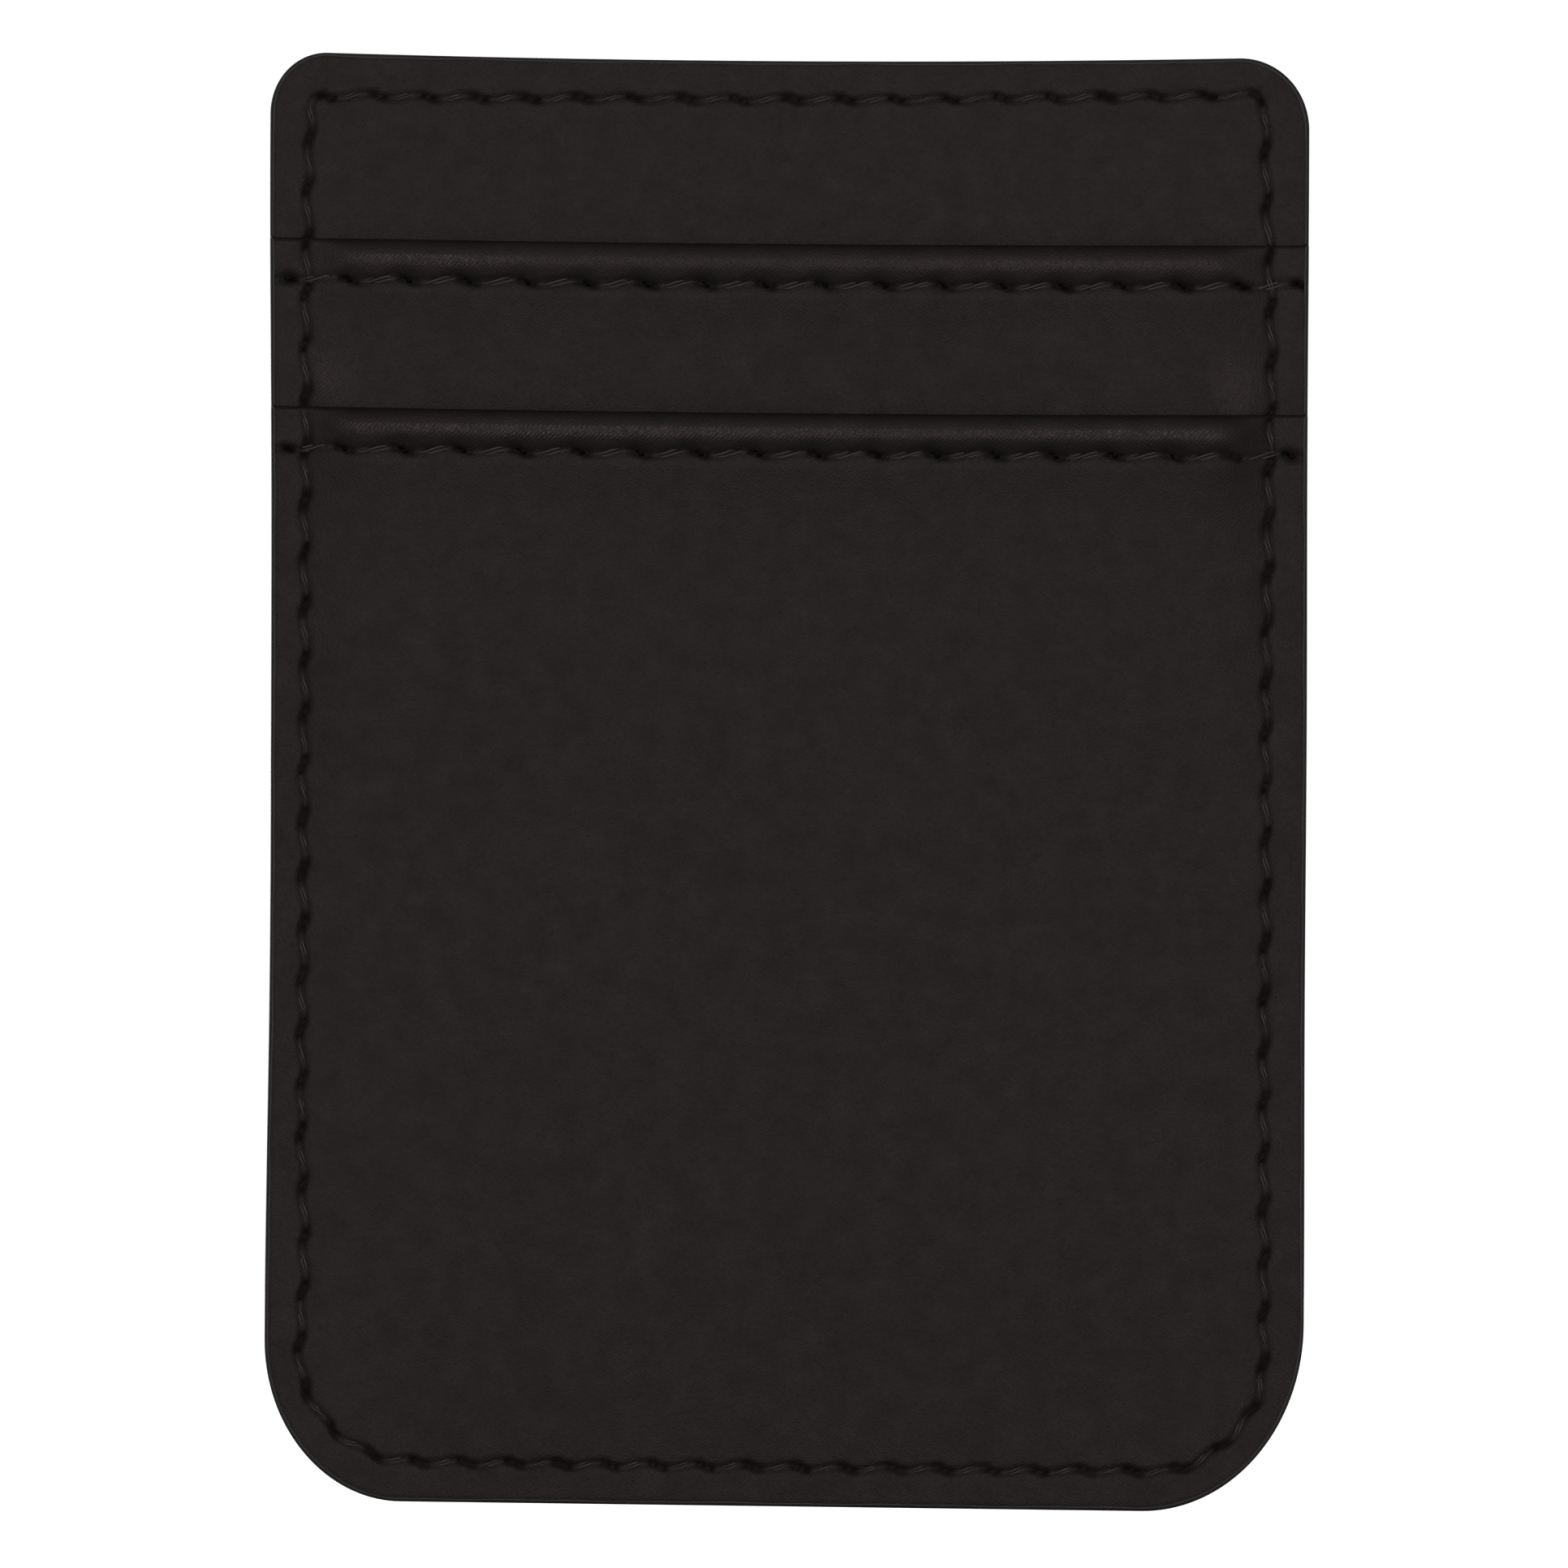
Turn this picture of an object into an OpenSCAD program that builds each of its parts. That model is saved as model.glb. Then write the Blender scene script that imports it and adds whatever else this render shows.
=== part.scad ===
// Stick-on card holder: two stitched card pockets on a stiffened back wall with an adhesive sheet.
// Each module draws its piece lying flat, with x across, y towards the pocket mouths and z out of the
// front, and then stands it up: the mouths face +Z and the front faces -Y. The origin is the centre of
// the adhesive sheet's sticking face, which is level 0 in the drawing.

/* [Outline] */
// Width over the painted edges
body_w = 63.5; // [61.5:0.1:70]
// Height over the painted edges
body_h = 88.9; // [86:0.1:96]
// Radius of the top left corner
top_left_r = 3.6; // [3:0.1:6]
// Radius of the top right corner
top_right_r = 4.3; // [3:0.1:6]
// Radius of the bottom left corner
bottom_left_r = 9.4; // [8:0.1:12]
// Radius of the bottom right corner
bottom_right_r = 10.4; // [8:0.1:12]

/* [Layers] */
// Thickness of each coated leatherette sheet
sheet_t = 0.5; // [0.4:0.05:0.7]
// Thickness of the stiffener board
board_t = 0.3; // [0.2:0.05:0.5]
// Thickness of the adhesive sheet
adhesive_t = 0.2; // [0.15:0.05:0.4]
// Thickness of the release liner
liner_t = 0.12; // [0.08:0.02:0.2]
// Thickness of the paint on the cut edge
paint_t = 0.2; // [0.1:0.05:0.3]

/* [Pockets] */
// From the top edge down to the rear pocket's mouth
rear_mouth_drop = 11.6; // [9:0.1:14]
// From the top edge down to the front pocket's mouth
front_mouth_drop = 22.0; // [20:0.1:26]
// How far down the sheet is turned in behind each mouth
hem_turn = 4.7; // [3.6:0.1:5.5]
// From a mouth down to its hem seam
hem_seam_drop = 2.5; // [2:0.1:3]
// Room that each pocket leaves for the thickness of a card
card_gap = 0.85; // [0.8:0.05:1.2]

/* [Seams] */
// From the left edge in to the perimeter seam
seam_left = 2; // [1.8:0.1:2.6]
// From the right edge in to the perimeter seam
seam_right = 2.4; // [1.8:0.1:2.6]
// From the top edge down to the perimeter seam
seam_top = 2.5; // [1.8:0.1:2.8]
// From the bottom edge up to the perimeter seam
seam_bottom = 2.4; // [1.8:0.1:2.8]
// Stitch length on the perimeter seam
perimeter_pitch = 3.2; // [2.8:0.1:3.6]
// Stitch length on the hem seams
hem_pitch = 3.7; // [3.2:0.1:4.2]
// Thickness of the sewing thread
thread_d = 0.36; // [0.3:0.02:0.44]

/* [Back] */
// Width of the adhesive sheet
adhesive_w = 50; // [40:1:52]
// Height of the adhesive sheet
adhesive_h = 74; // [60:1:76]
// How far the release liner reaches past the adhesive all round
liner_lap = 1; // [0.5:0.25:1.5]

/* [Hidden] */
$fn = 64;

half_w = body_w / 2;
half_h = body_h / 2;
rear_mouth_y = half_h - rear_mouth_drop;
front_mouth_y = half_h - front_mouth_drop;

// Levels of each sheet's back where it is sewn down. Inside the seam a pocket is raised off what is
// behind it by the thickness that its card needs.
back_z = adhesive_t;
board_z = back_z + sheet_t;
face_z = board_z + board_t;
rear_z = face_z + sheet_t;
front_z = rear_z + sheet_t;
rear_rise = card_gap;
front_rise = 2 * card_gap;

// The perimeter seam's line.
seam_low = [-half_w + seam_left, -half_h + seam_bottom];
seam_high = [half_w - seam_right, half_h - seam_top];
seam_top_r = 1;
seam_bottom_r = 7;

// A raised field starts this far inside the seam and is at its full height after a slope.
field_clear = 0.4;
side_slope = 2;
bottom_slope = 1.4;
slab_t = 0.01;
cut_below = 0.1;

// The threads: how far they stand proud, and where a seam's two threads lock together.
thread_proud = 0.12;
bobbin_proud = 0.06;
perimeter_lock_z = board_z;
hem_thread_inset = paint_t + 0.3;

adhesive_corner_r = 4;
hull_fn = 32;
thread_fn = 6;
far = 200;
leather_black = [0.15, 0.14, 0.137];
thread_black = [0.2, 0.19, 0.185];

// Stands the flat drawing up, so that its front becomes -Y.
module upright() rotate([90, 0, 0]) children();

// The piece of a square corner at [x, y] that a round corner leaves out.
module corner_waste(x, y, r) {
    inner = [x - sign(x) * r, y - sign(y) * r];
    difference() {
        translate([min(x, inner.x), min(y, inner.y)]) square(r);
        translate(inner) circle(r);
    }
}

// The holder's outline, moved in by inset.
module outline(inset = 0) {
    w = half_w - inset;
    h = half_h - inset;
    difference() {
        translate([-w, -h]) square([2 * w, 2 * h]);
        corner_waste(-w, h, top_left_r - inset);
        corner_waste(w, h, top_right_r - inset);
        corner_waste(-w, -h, bottom_left_r - inset);
        corner_waste(w, -h, bottom_right_r - inset);
    }
}

module rounded_rectangle(w, h, r) {
    difference() {
        square([w, h], center = true);
        for (sx = [-1, 1], sy = [-1, 1]) corner_waste(sx * w / 2, sy * h / 2, r);
    }
}

// Everything between two heights of the drawing.
module band(low, high) translate([-far / 2, low]) square([far, high - low]);

// A sheet's outline inside the edge paint, from its mouth down.
module sheet_outline(mouth) intersection() {
    outline(paint_t);
    band(-far, mouth);
}

// A raised field's outline part way up its slopes: share 0 is the foot and share 1 the top.
module field_outline(share) {
    x0 = seam_low.x + field_clear + side_slope * share;
    x1 = seam_high.x - field_clear - side_slope * share;
    y0 = seam_low.y + field_clear + bottom_slope * share;
    r = seam_bottom_r - field_clear - side_slope * share / 2;
    hull() {
        for (x = [x0 + r, x1 - r]) translate([x, y0 + r]) circle(r, $fn = hull_fn);
        translate([x0, far / 2]) square([x1 - x0, 1]);
    }
}

// The space under a raised field, from just below its foot up to its rise.
module field_space(rise) {
    hull() for (z = [-cut_below, rise - slab_t]) translate([0, 0, z])
        linear_extrude(slab_t) field_outline(max(0, z) / rise);
}

// A pocket's sheet of the given thickness, before its field is hollowed from behind.
module pocket_blank(t, rise, mouth) {
    linear_extrude(t) sheet_outline(mouth);
    intersection() {
        translate([0, 0, t]) field_space(rise);
        linear_extrude(far) sheet_outline(mouth);
    }
}

// A pocket's sheet: flat where it is sewn down, raised inside the seam and open at its mouth, where it is
// turned in, so that the hem is double.
module pocket_sheet(rise, mouth) difference() {
    union() {
        pocket_blank(sheet_t, rise, mouth);
        intersection() {
            pocket_blank(2 * sheet_t, rise, mouth);
            linear_extrude(far) band(mouth - hem_turn, far);
        }
    }
    field_space(rise);
}

// The level of the border's front at height y.
function hem_layers(y, mouth) = y > mouth ? 0 : y < mouth - hem_turn ? 1 : 2;
function border_top(y) =
    hem_layers(y, front_mouth_y) > 0 ? front_z + hem_layers(y, front_mouth_y) * sheet_t
    : rear_z + hem_layers(y, rear_mouth_y) * sheet_t;

// A straight length of thread between two points.
module rod(from, to) {
    run = to - from;
    translate(from) rotate([0, acos(run.z / norm(run)), atan2(run.y, run.x)])
        cylinder(h = norm(run), d = thread_d, $fn = thread_fn);
}

// One of a seam's two threads: it lies from hole to hole and goes down each hole to where it is locked.
module thread_through(holes, lock_levels, closed) {
    count = len(holes);
    for (i = [0 : count - 1]) {
        if (closed || i < count - 1) rod(holes[i], holes[(i + 1) % count]);
        rod(holes[i], [holes[i].x, holes[i].y, lock_levels[i]]);
    }
}

// The perimeter seam, clockwise from the left end of its top run. Each part is its length, its start,
// its direction in degrees and the radius that it turns right with, which is 0 on a straight part.
function turn_length(r) = PI * r / 2;
seam_w = seam_high.x - seam_low.x;
seam_h = seam_high.y - seam_low.y;
side_run = seam_h - seam_top_r - seam_bottom_r;
seam_parts = [
    [seam_w - 2 * seam_top_r, [seam_low.x + seam_top_r, seam_high.y], 0, 0],
    [turn_length(seam_top_r), [seam_high.x - seam_top_r, seam_high.y], 0, seam_top_r],
    [side_run, [seam_high.x, seam_high.y - seam_top_r], -90, 0],
    [turn_length(seam_bottom_r), [seam_high.x, seam_low.y + seam_bottom_r], -90, seam_bottom_r],
    [seam_w - 2 * seam_bottom_r, [seam_high.x - seam_bottom_r, seam_low.y], -180, 0],
    [turn_length(seam_bottom_r), [seam_low.x + seam_bottom_r, seam_low.y], -180, seam_bottom_r],
    [side_run, [seam_low.x, seam_low.y + seam_bottom_r], -270, 0],
    [turn_length(seam_top_r), [seam_low.x, seam_high.y - seam_top_r], -270, seam_top_r]
];
function length_from(i) = i < len(seam_parts) ? seam_parts[i][0] + length_from(i + 1) : 0;
perimeter_length = length_from(0);
perimeter_count = round(perimeter_length / perimeter_pitch);

// The point at distance s along the seam, counted from its part i.
function seam_point(s, i = 0) =
    s > seam_parts[i][0] && i < len(seam_parts) - 1 ? seam_point(s - seam_parts[i][0], i + 1)
    : let (start = seam_parts[i][1], angle = seam_parts[i][2], r = seam_parts[i][3])
      r == 0 ? start + s * [cos(angle), sin(angle)]
      : let (turned = angle - s / r * 180 / PI)
        start + r * [sin(angle) - sin(turned), cos(turned) - cos(angle)];

perimeter_holes = [
    for (i = [0 : perimeter_count - 1]) seam_point((i + 0.5) * perimeter_length / perimeter_count)
];

module perimeter_needle_thread() {
    lift = thread_proud - thread_d / 2;
    holes = [for (p = perimeter_holes) [p.x, p.y, border_top(p.y) + lift]];
    color(thread_black) upright() thread_through(holes, [for (p = holes) perimeter_lock_z], true);
}

module perimeter_bobbin_thread() {
    z = back_z - bobbin_proud + thread_d / 2;
    holes = [for (p = perimeter_holes) [p.x, p.y, z]];
    color(thread_black) upright() thread_through(holes, [for (p = holes) perimeter_lock_z], true);
}

// A hem seam runs from edge to edge through the two thicknesses of its hem and up over the field.
hem_run = body_w - 2 * hem_thread_inset;
hem_count = round(hem_run / hem_pitch);
hem_xs = [for (i = [0 : hem_count]) -hem_run / 2 + i * hem_run / hem_count];

// How far a field has risen at x: nothing at the seam, the whole rise past the slope.
function rise_at(x, rise) =
    rise * max(0, min(1, (min(x - seam_low.x, seam_high.x - x) - field_clear) / side_slope));

// A hem's thread with its middle at the given height over the hem's back.
module hem_thread(z, rise, mouth, height) {
    holes = [for (x = hem_xs) [x, mouth - hem_seam_drop, z + rise_at(x, rise) + height]];
    locks = [for (x = hem_xs) z + rise_at(x, rise) + sheet_t];
    color(thread_black) upright() thread_through(holes, locks, false);
}

needle_height = 2 * sheet_t + thread_proud - thread_d / 2;
bobbin_height = thread_d / 2 - bobbin_proud;
module rear_hem_needle_thread() hem_thread(rear_z, rear_rise, rear_mouth_y, needle_height);
module rear_hem_bobbin_thread() hem_thread(rear_z, rear_rise, rear_mouth_y, bobbin_height);
module front_hem_needle_thread() hem_thread(front_z, front_rise, front_mouth_y, needle_height);
module front_hem_bobbin_thread() hem_thread(front_z, front_rise, front_mouth_y, bobbin_height);

module release_liner() {
    color([0.93, 0.91, 0.85]) upright() translate([0, 0, -liner_t]) linear_extrude(liner_t)
        rounded_rectangle(adhesive_w + 2 * liner_lap, adhesive_h + 2 * liner_lap, adhesive_corner_r);
}

module adhesive_sheet() {
    color([0.85, 0.85, 0.82]) upright() linear_extrude(adhesive_t)
        rounded_rectangle(adhesive_w, adhesive_h, adhesive_corner_r);
}

// A flat layer that fills the whole outline inside the paint.
module whole_sheet(z, t) upright() translate([0, 0, z]) linear_extrude(t) outline(paint_t);

module back_panel() color(leather_black) whole_sheet(back_z, sheet_t);
module stiffener_board() color([0.6, 0.5, 0.38]) whole_sheet(board_z, board_t);
module face_panel() color(leather_black) whole_sheet(face_z, sheet_t);

module rear_pocket_panel() {
    color(leather_black) upright() translate([0, 0, rear_z]) pocket_sheet(rear_rise, rear_mouth_y);
}

module front_pocket_panel() {
    color(leather_black) upright() translate([0, 0, front_z]) pocket_sheet(front_rise, front_mouth_y);
}

// The paint follows the cut edge, which is thicker at each pocket and thickest at each hem.
module edge_paint() {
    steps = [
        half_h, rear_mouth_y, rear_mouth_y - hem_turn, front_mouth_y, front_mouth_y - hem_turn, -half_h
    ];
    color([0.1, 0.095, 0.09]) upright() translate([0, 0, back_z]) for (i = [0 : len(steps) - 2]) {
        top = border_top((steps[i] + steps[i + 1]) / 2);
        linear_extrude(top - back_z) intersection() {
            difference() {
                outline();
                outline(paint_t);
            }
            band(steps[i + 1], steps[i]);
        }
    }
}

release_liner();
adhesive_sheet();
back_panel();
stiffener_board();
face_panel();
rear_pocket_panel();
front_pocket_panel();
edge_paint();
perimeter_needle_thread();
perimeter_bobbin_thread();
rear_hem_needle_thread();
rear_hem_bobbin_thread();
front_hem_needle_thread();
front_hem_bobbin_thread();
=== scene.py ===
"""Looks of the stick-on card holder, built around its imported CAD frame.

The pieces are drawn in millimetres, as x across, z towards the pocket mouths and d (depth) out of the
front. place() turns that into the frame's metres, where the front faces -Y.
"""

import math

import bpy
import numpy as np
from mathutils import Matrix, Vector


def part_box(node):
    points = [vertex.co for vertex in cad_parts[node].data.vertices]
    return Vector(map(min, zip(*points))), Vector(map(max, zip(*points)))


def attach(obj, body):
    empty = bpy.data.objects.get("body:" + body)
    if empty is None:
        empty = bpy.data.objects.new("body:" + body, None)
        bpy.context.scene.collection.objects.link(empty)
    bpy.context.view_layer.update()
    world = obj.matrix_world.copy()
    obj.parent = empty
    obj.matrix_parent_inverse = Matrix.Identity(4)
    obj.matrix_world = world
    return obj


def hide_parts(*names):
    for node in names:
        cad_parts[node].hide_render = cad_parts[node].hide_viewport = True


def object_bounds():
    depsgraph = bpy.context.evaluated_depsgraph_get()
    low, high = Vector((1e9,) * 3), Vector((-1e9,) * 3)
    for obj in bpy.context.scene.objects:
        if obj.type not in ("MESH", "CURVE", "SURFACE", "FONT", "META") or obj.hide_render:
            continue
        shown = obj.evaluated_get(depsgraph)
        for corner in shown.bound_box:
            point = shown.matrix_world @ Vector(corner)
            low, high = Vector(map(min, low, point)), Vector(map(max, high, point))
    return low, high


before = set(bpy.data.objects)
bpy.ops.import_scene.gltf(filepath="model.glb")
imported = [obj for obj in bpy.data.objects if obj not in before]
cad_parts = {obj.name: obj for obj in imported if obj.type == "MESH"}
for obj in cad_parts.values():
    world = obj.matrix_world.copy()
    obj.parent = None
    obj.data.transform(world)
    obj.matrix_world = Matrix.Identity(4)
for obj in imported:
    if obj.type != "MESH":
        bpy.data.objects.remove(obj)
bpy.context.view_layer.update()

MM = 0.001


# ---------------------------------------------------------------- sizes, from the frame

def box_mm(node):
    """A node's box as [x0, x1, z0, z1, d0, d1] in millimetres."""
    low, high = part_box(node)
    return [v / MM for v in (low.x, high.x, low.z, high.z, -high.y, -low.y)]


OUT_X0, OUT_X1, OUT_Z0, OUT_Z1, _, _ = box_mm("edge_paint")
PAINT = box_mm("face_panel")[0] - OUT_X0
_, _, _, _, BACK_D, BACK_TOP = box_mm("back_panel")
_, _, _, _, FACE_BACK, FACE_TOP = box_mm("face_panel")
_, _, _, REAR_MOUTH, REAR_BACK, _ = box_mm("rear_pocket_panel")
_, _, _, FRONT_MOUTH, FRONT_BACK, _ = box_mm("front_pocket_panel")
LINER_X0, LINER_X1, LINER_Z0, LINER_Z1, LINER_D, _ = box_mm("release_liner")
SHEET = BACK_TOP - BACK_D
THREAD_R = 0.18
SEAM_X0, SEAM_X1, SEAM_Z0, SEAM_Z1 = (
    edge + THREAD_R * way for edge, way in zip(box_mm("perimeter_needle_thread"), (1, -1, 1, -1)))
HEM_SEAM_DROP = REAR_MOUTH - (box_mm("rear_hem_needle_thread")[2] + THREAD_R * math.cos(math.pi / 6))
HEM_TURN = 4.7  # how far the leather turns in behind a mouth

# The corners' radii across and up, by the side that they are on: left or right, bottom or top.
CORNERS = {(-1, 1): (3.5, 3.9), (1, 1): (4.3, 4.5), (-1, -1): (8.3, 9.9), (1, -1): (9.9, 11.5)}
SEAM_TOP_R, SEAM_BOTTOM_R = 0.9, 7.0
SIDE_PITCH, BOTTOM_PITCH, HEM_PITCH = 3.2, 2.9, 3.7


# ---------------------------------------------------------------- small helpers

def smooth(t):
    t = np.clip(t, 0, 1)
    return t * t * (3 - 2 * t)


def hill(t):
    """1 at t = 0, falling smoothly to 0 at |t| = 1."""
    return 0.5 + 0.5 * np.cos(np.pi * np.clip(np.abs(t), 0, 1))


def spot(x, z, at, size):
    """A round soft spot of height 1."""
    return np.exp(-((x - at[0]) / size[0]) ** 2 - ((z - at[1]) / size[1]) ** 2)


def waves(x, z, seed, size, count=5):
    """A smooth random surface of about unit height, with features of the given size in mm."""
    local = np.random.default_rng(seed)
    total = np.zeros(np.broadcast(x, z).shape)
    for _ in range(count):
        angle, phase = local.uniform(0, 2 * math.pi, 2)
        k = 2 * math.pi / (size * local.uniform(0.7, 1.6))
        total += np.sin(k * (x * math.cos(angle) + z * math.sin(angle)) + phase)
    return total / math.sqrt(count)


def warp(x, z):
    """Where the hand-cut and hand-sewn holder really has the point (x, z) of its drawing.

    Its rows slope, its top edge bows in, its sides are wavy, its left side narrows at the middle, and the
    front pocket's mouth hangs in its middle.
    """
    down = np.clip((OUT_Z1 - z) / (OUT_Z1 - OUT_Z0), 0, 1)
    tilt = np.radians(0.05 + 0.42 * down ** 0.6)
    bow = 0.4 * (1 - (x / 31) ** 2) * np.exp(-(OUT_Z1 - z) / 5)
    by_edge = np.clip(np.abs(x) / 31, 0, 1) ** 4
    wavy = 0.02 * np.sin(z / 5.3 + 1) * np.sign(x) * by_edge
    waist = 0.12 * np.cos(np.pi * z / 42) * (x < 0) * by_edge
    sag = 0.18 * (x / 31) ** 2 * np.exp(-((OUT_Z1 - z - 20) / 14) ** 2)
    return x + wavy + waist, z - x * np.tan(tilt) - bow + sag


def place(x, z, d):
    """Points of the drawing as an array of frame points in metres."""
    x, z, d = np.broadcast_arrays(x, z, d)
    wx, wz = warp(x, z)
    return np.stack([wx, -d, wz], axis=-1).reshape(-1, 3) * MM


def make_mesh(name, points, faces, attributes=None):
    """A smooth-shaded object from points in metres and lists of faces."""
    mesh = bpy.data.meshes.new(name)
    mesh.from_pydata(points.tolist(), [], faces)
    mesh.validate()
    for key, values in (attributes or {}).items():
        layer = mesh.attributes.new(key, "FLOAT", "POINT")
        layer.data.foreach_set("value", np.asarray(values, np.float32).ravel())
    mesh.shade_smooth()
    mesh.set_sharp_from_angle(angle=math.radians(65))
    obj = bpy.data.objects.new(name, mesh)
    bpy.context.scene.collection.objects.link(obj)
    return obj


# ---------------------------------------------------------------- the outline

def outline_x(z, side, inset):
    """The x of the outline at height z, on side -1 or 1, moved in by inset."""
    edge = (OUT_X0 if side < 0 else OUT_X1) - side * inset
    cut = 0
    for top in (-1, 1):
        rx, rz = (r - inset for r in CORNERS[side, top])
        end = (OUT_Z1 if top > 0 else OUT_Z0) - top * inset
        past = np.clip(1 + top * (z - end) / rz, 0, 1)
        cut = cut + rx * (1 - np.sqrt(1 - past ** 2))
    return edge - side * cut


def outline_gap(x, z):
    """How far a point is inside the outline."""
    gap = np.minimum(np.minimum(x - OUT_X0, OUT_X1 - x), np.minimum(z - OUT_Z0, OUT_Z1 - z))
    for (side, top), (rx, rz) in CORNERS.items():
        px = side * x - (OUT_X1 - rx)
        pz = top * z - (OUT_Z1 - rz)
        reach = np.hypot(px, pz)
        share = np.maximum(np.hypot(px / rx, pz / rz), 1e-6)
        gap = np.where((px > 0) & (pz > 0), reach / share - reach, gap)
    return gap


def outline_path(step):
    """Points and outward directions round the outline, anticlockwise seen from the front."""
    points, normals = [], []
    order = [(1, -1), (1, 1), (-1, 1), (-1, -1)]
    for i, corner in enumerate(order):
        side, top = corner
        rx, rz = CORNERS[corner]
        start = math.radians(-90 + 90 * i)
        angles = start + np.radians(np.arange(0, 90.1, 2.5))
        centre = np.array([side * (OUT_X1 - rx), top * (OUT_Z1 - rz)])
        arc = centre + np.stack([rx * np.cos(angles), rz * np.sin(angles)], -1)
        way = np.stack([np.cos(angles) / rx, np.sin(angles) / rz], -1)
        points.append(arc)
        normals.append(way / np.linalg.norm(way, axis=1, keepdims=True))
        nside, ntop = order[(i + 1) % 4]
        nrx, nrz = CORNERS[nside, ntop]
        last = angles[-1]
        target = (np.array([nside * (OUT_X1 - nrx), ntop * (OUT_Z1 - nrz)])
                  + np.array([nrx * math.cos(last), nrz * math.sin(last)]))
        count = int(np.linalg.norm(target - arc[-1]) / step)
        share = (np.arange(1, count) / count)[:, None]
        points.append(arc[-1] + share * (target - arc[-1]))
        normals.append(np.repeat(normals[-1][-1:], count - 1, 0))
    return np.concatenate(points), np.concatenate(normals)


# ---------------------------------------------------------------- the seams

def stitch_errors(seed, total, closed):
    """Random numbers from -1 to 1 for each needle hole: its shift, its width and its depth."""
    errors = np.random.default_rng(seed).uniform(-1, 1, (3, total + 1))
    if closed:
        errors[:, -1] = errors[:, 0]
    return errors


class PerimeterSeam:
    """The seam round the edge, walked clockwise. Each part is its length, start, direction and radius.

    Of a seam, pitch is a stitch's length, dive how late a stitch dives into its holes, and burnt the
    places of the thread's melted ends.
    """

    pitch = SIDE_PITCH
    dive = 2.3
    burnt = ()

    def __init__(self):
        w, h = SEAM_X1 - SEAM_X0, SEAM_Z1 - SEAM_Z0
        rt, rb = SEAM_TOP_R, SEAM_BOTTOM_R
        side = h - rt - rb
        quarter = math.pi / 2
        self.parts = [
            (w - 2 * rt, (SEAM_X0 + rt, SEAM_Z1), 0, 0),
            (quarter * rt, (SEAM_X1 - rt, SEAM_Z1), 0, rt),
            (side, (SEAM_X1, SEAM_Z1 - rt), -90, 0),
            (quarter * rb, (SEAM_X1, SEAM_Z0 + rb), -90, rb),
            (w - 2 * rb, (SEAM_X1 - rb, SEAM_Z0), -180, 0),
            (quarter * rb, (SEAM_X0 + rb, SEAM_Z0), -180, rb),
            (side, (SEAM_X0, SEAM_Z0 + rb), -270, 0),
            (quarter * rt, (SEAM_X0, SEAM_Z1 - rt), -270, rt),
        ]
        pitches = [SIDE_PITCH] * 3 + [BOTTOM_PITCH] * 3 + [SIDE_PITCH] * 2
        counts = np.array([part[0] / pitch for part, pitch in zip(self.parts, pitches)])
        self.total = int(round(counts.sum()))
        self.counts = counts * self.total / counts.sum()
        self.starts = np.concatenate([[0], np.cumsum(self.counts)])
        self.uneven = stitch_errors(31, self.total, True)

    def drift(self, x, z):
        """How far the sewn seam wanders sideways from its drawing on the long sides."""
        down = SEAM_Z1 - z
        left = 0.42 * np.exp(-down / 12) + 0.06 + 0.35 * np.exp(-((down - 71) / 5) ** 2)
        right = -0.3 * np.exp(-down / 9) + 0.3 * np.exp(-((down - 17) / 9) ** 2) - 0.1
        return np.where(x < 0, left, right) * smooth((np.abs(x) - 15) / 12)

    def sink(self, x, z):
        """How far the top row runs lower than its drawing, towards the left."""
        return -0.007 * x * smooth((z - SEAM_Z1 + 6) / 5)

    def at(self, phase):
        """Points and directions on the seam, where phase counts needle holes."""
        phase = np.mod(phase, self.total)
        x, z, tx, tz = (np.zeros_like(phase) for _ in range(4))
        for i, (length, start, angle, r) in enumerate(self.parts):
            here = (phase >= self.starts[i]) & (phase <= self.starts[i + 1])
            s = (phase[here] - self.starts[i]) / self.counts[i] * length
            a = math.radians(angle)
            b = a - (s / r if r else 0 * s)
            if r:
                x[here] = start[0] + r * (math.sin(a) - np.sin(b))
                z[here] = start[1] + r * (np.cos(b) - math.cos(a))
            else:
                x[here] = start[0] + s * math.cos(a)
                z[here] = start[1] + s * math.sin(a)
            tx[here], tz[here] = np.cos(b), np.sin(b)
        return x + self.drift(x, z), z - self.sink(x, z), tx, tz

    def nearest(self, x, z):
        """For each point: its distance inside the seam in mm, and the phase of its nearest seam point."""
        x, z = x - self.drift(x, z), z + self.sink(x, z)
        best = np.full(x.shape, 1e9)
        inside, phase = np.zeros(x.shape), np.zeros(x.shape)
        for i, (length, start, angle, r) in enumerate(self.parts):
            a = math.radians(angle)
            px, pz = x - start[0], z - start[1]
            if r == 0:
                s = np.clip(px * math.cos(a) + pz * math.sin(a), 0, length)
                qx, qz = s * math.cos(a), s * math.sin(a)
                nx, nz = math.sin(a), -math.cos(a)
            else:
                cx, cz = r * math.sin(a), -r * math.cos(a)
                turned = np.arctan2((px - cx) * math.cos(a) + (pz - cz) * math.sin(a),
                                    -(px - cx) * math.sin(a) + (pz - cz) * math.cos(a))
                turned = np.clip(turned, 0, math.pi / 2)
                s, b = turned * r, a - turned
                qx, qz = r * (math.sin(a) - np.sin(b)), r * (np.cos(b) - math.cos(a))
                nx, nz = np.sin(b), -np.cos(b)
            gap = np.hypot(px - qx, pz - qz)
            nearer = gap < best
            best = np.where(nearer, gap, best)
            inward = (px - qx) * nx + (pz - qz) * nz
            inside = np.where(nearer, np.where(inward < 0, -gap, gap), inside)
            phase = np.where(nearer, self.starts[i] + s / length * self.counts[i], phase)
        return inside, phase


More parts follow.
